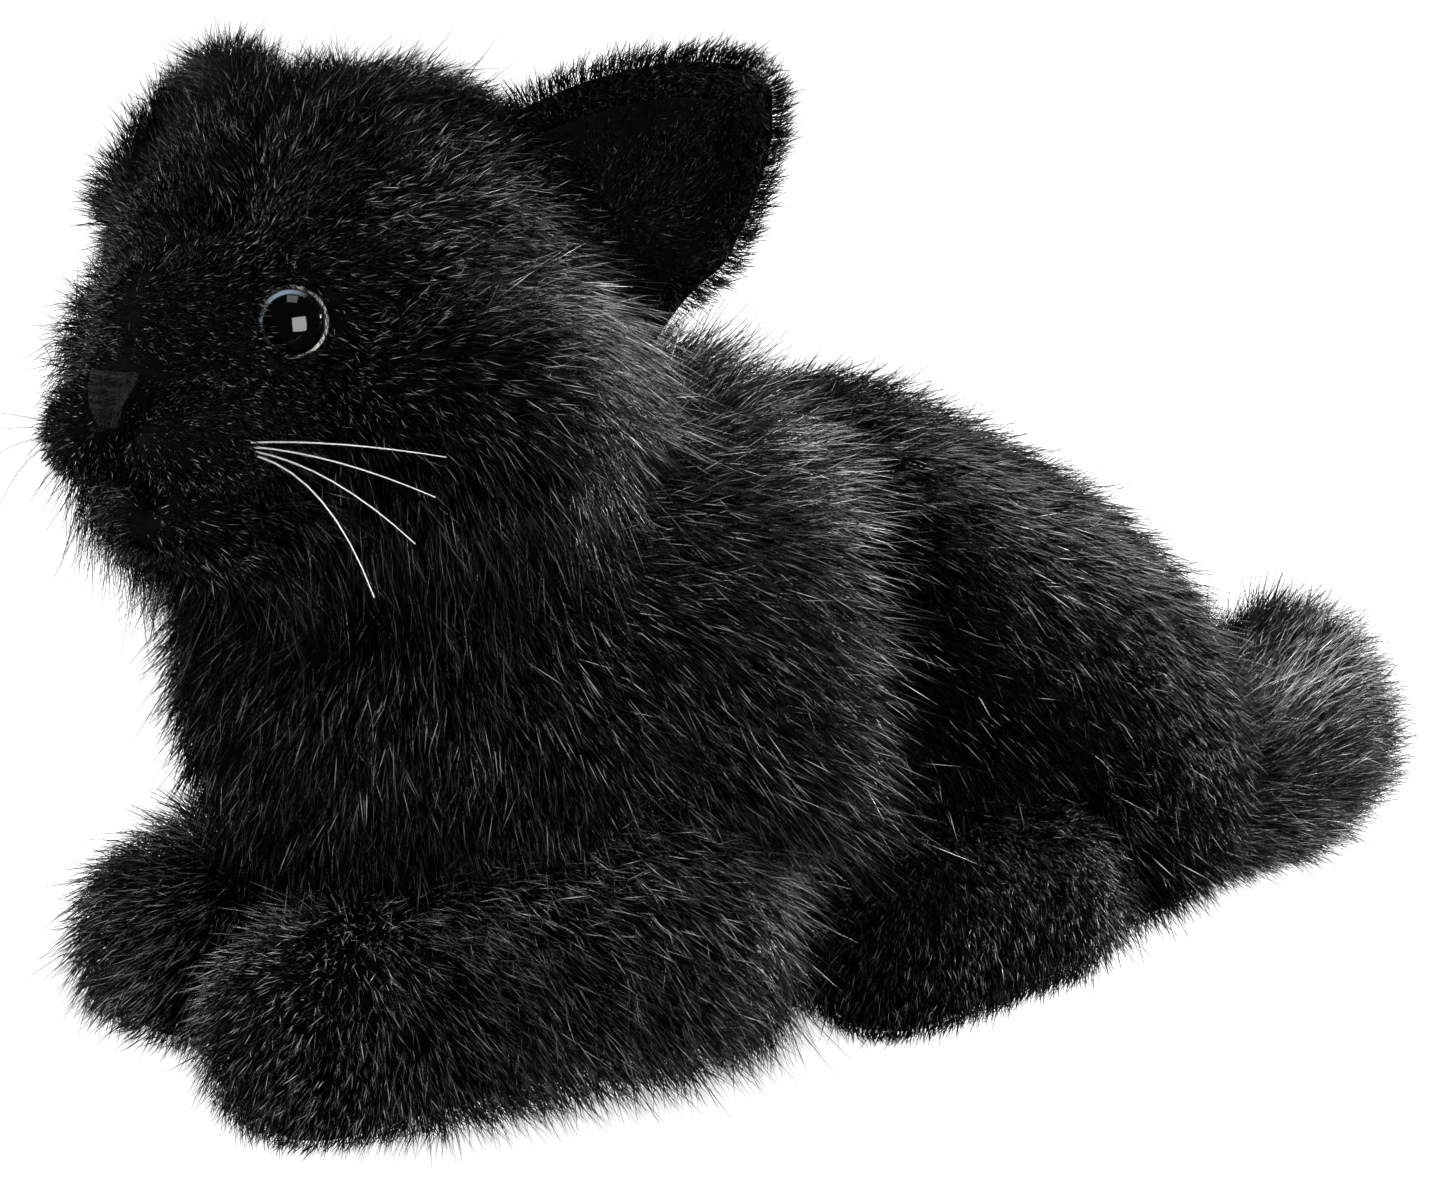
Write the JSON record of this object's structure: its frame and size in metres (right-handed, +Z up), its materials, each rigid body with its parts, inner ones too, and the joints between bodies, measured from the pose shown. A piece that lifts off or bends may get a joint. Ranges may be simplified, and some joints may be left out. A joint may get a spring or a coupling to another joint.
{
  "type": "plush cat",
  "caption": "Lying plush cat in black long-pile faux fur, head raised and turned, with safety eyes, nylon whiskers, upright ears and a thick tail.",
  "frame": {"origin": "centre of the whole cat's footprint box, on the surface that it lies on", "axes": "+Z up; -Y the way the body faces, so +Y runs towards the tail; +X the cat's left"},
  "size_m": [0.167, 0.3393, 0.214],
  "materials": {
    "long_pile": "long straight pile faux fur, glossy fibres",
    "short_pile": "short dense pile faux fur",
    "ear_pile": "short dense pile faux fur",
    "velour": "matt velour",
    "nose_flock": "matt velour",
    "filling": "polyester hollow fibre",
    "pellets": "polyethylene pellets in an inner bag",
    "eye_lens": "clear polished acrylic",
    "eye_iris": "painted ring",
    "eye_stem": "moulded black",
    "washer": "moulded white",
    "whisker": "clear white nylon monofilament"
  },
  "bodies": {
    "torso": {"chest_left_panel": "long_pile", "chest_right_panel": "long_pile", "back_left_panel": "long_pile", "back_right_panel": "long_pile", "belly_panel": "long_pile", "body_filling": "filling", "belly_pellet_bag": "pellets"},
    "neck": {"neck_roll": "long_pile"},
    "head": {"head_left_panel": "long_pile", "head_right_panel": "long_pile", "muzzle_panel": "short_pile", "chin_panel": "short_pile", "head_filling": "filling", "nose_pad": "nose_flock", "eye_left_lens": "eye_lens", "eye_right_lens": "eye_lens", "eye_left_iris": "eye_iris", "eye_right_iris": "eye_iris", "eye_left_stem": "eye_stem", "eye_right_stem": "eye_stem", "eye_left_washer": "washer", "eye_right_washer": "washer", "whiskers_left": "whisker", "whiskers_right": "whisker"},
    "ear_left": {"ear_left_back": "ear_pile", "ear_left_lining": "velour"},
    "ear_right": {"ear_right_back": "ear_pile", "ear_right_lining": "velour"},
    "foreleg_left": {"foreleg_left_sleeve": "short_pile", "foreleg_left_filling": "filling"},
    "foreleg_right": {"foreleg_right_sleeve": "short_pile", "foreleg_right_filling": "filling"},
    "hindleg_left": {"hindleg_left_sleeve": "short_pile", "hindleg_left_filling": "filling"},
    "hindleg_right": {"hindleg_right_sleeve": "short_pile", "hindleg_right_filling": "filling"},
    "tail": {"tail_sleeve": "long_pile", "tail_filling": "filling"}
  },
  "joints": [
    {"name": "neck_turn", "type": "hinge", "parent": "torso", "child": "neck", "pos_m": [-0.00125, -0.0864, 0.16], "axis": [0, 0, 1], "range_deg": [-20, 20], "stiffness_Nm_per_rad": 1.2},
    {"name": "head_nod", "type": "hinge", "parent": "neck", "child": "head", "pos_m": [-0.00125, -0.0864, 0.16], "axis": [0.8746, 0.4848, 0], "range_deg": [-10, 10], "stiffness_Nm_per_rad": 1.5},
    {"name": "ear_left_fold", "type": "hinge", "parent": "head", "child": "ear_left", "pos_m": [0.02503, -0.04567, 0.17965], "axis": [-0.4978, -0.5389, 0.6796], "range_deg": [-15, 15], "stiffness_Nm_per_rad": 0.05},
    {"name": "ear_right_fold", "type": "hinge", "parent": "head", "child": "ear_right", "pos_m": [-0.04707, -0.10589, 0.17602], "axis": [0.5769, 0.3588, 0.7338], "range_deg": [-15, 15], "stiffness_Nm_per_rad": 0.05},
    {"name": "foreleg_left_spread", "type": "hinge", "parent": "torso", "child": "foreleg_left", "pos_m": [0.03015, -0.0444, 0.033], "axis": [0, 0, 1], "range_deg": [-3, 22], "stiffness_Nm_per_rad": 0.5},
    {"name": "foreleg_right_spread", "type": "hinge", "parent": "torso", "child": "foreleg_right", "pos_m": [-0.03785, -0.0444, 0.033], "axis": [0, 0, 1], "range_deg": [-22, 3], "stiffness_Nm_per_rad": 0.5},
    {"name": "hindleg_left_spread", "type": "hinge", "parent": "torso", "child": "hindleg_left", "pos_m": [0.04015, 0.0436, 0.026], "axis": [0, 0, 1], "range_deg": [-8, 16], "stiffness_Nm_per_rad": 0.5},
    {"name": "hindleg_right_spread", "type": "hinge", "parent": "torso", "child": "hindleg_right", "pos_m": [-0.04785, 0.0436, 0.026], "axis": [0, 0, 1], "range_deg": [-16, 8], "stiffness_Nm_per_rad": 0.5},
    {"name": "tail_swing", "type": "hinge", "parent": "torso", "child": "tail", "pos_m": [0.00015, 0.1056, 0.027], "axis": [0, 0, 1], "range_deg": [-28, 28], "stiffness_Nm_per_rad": 0.3}
  ]
}
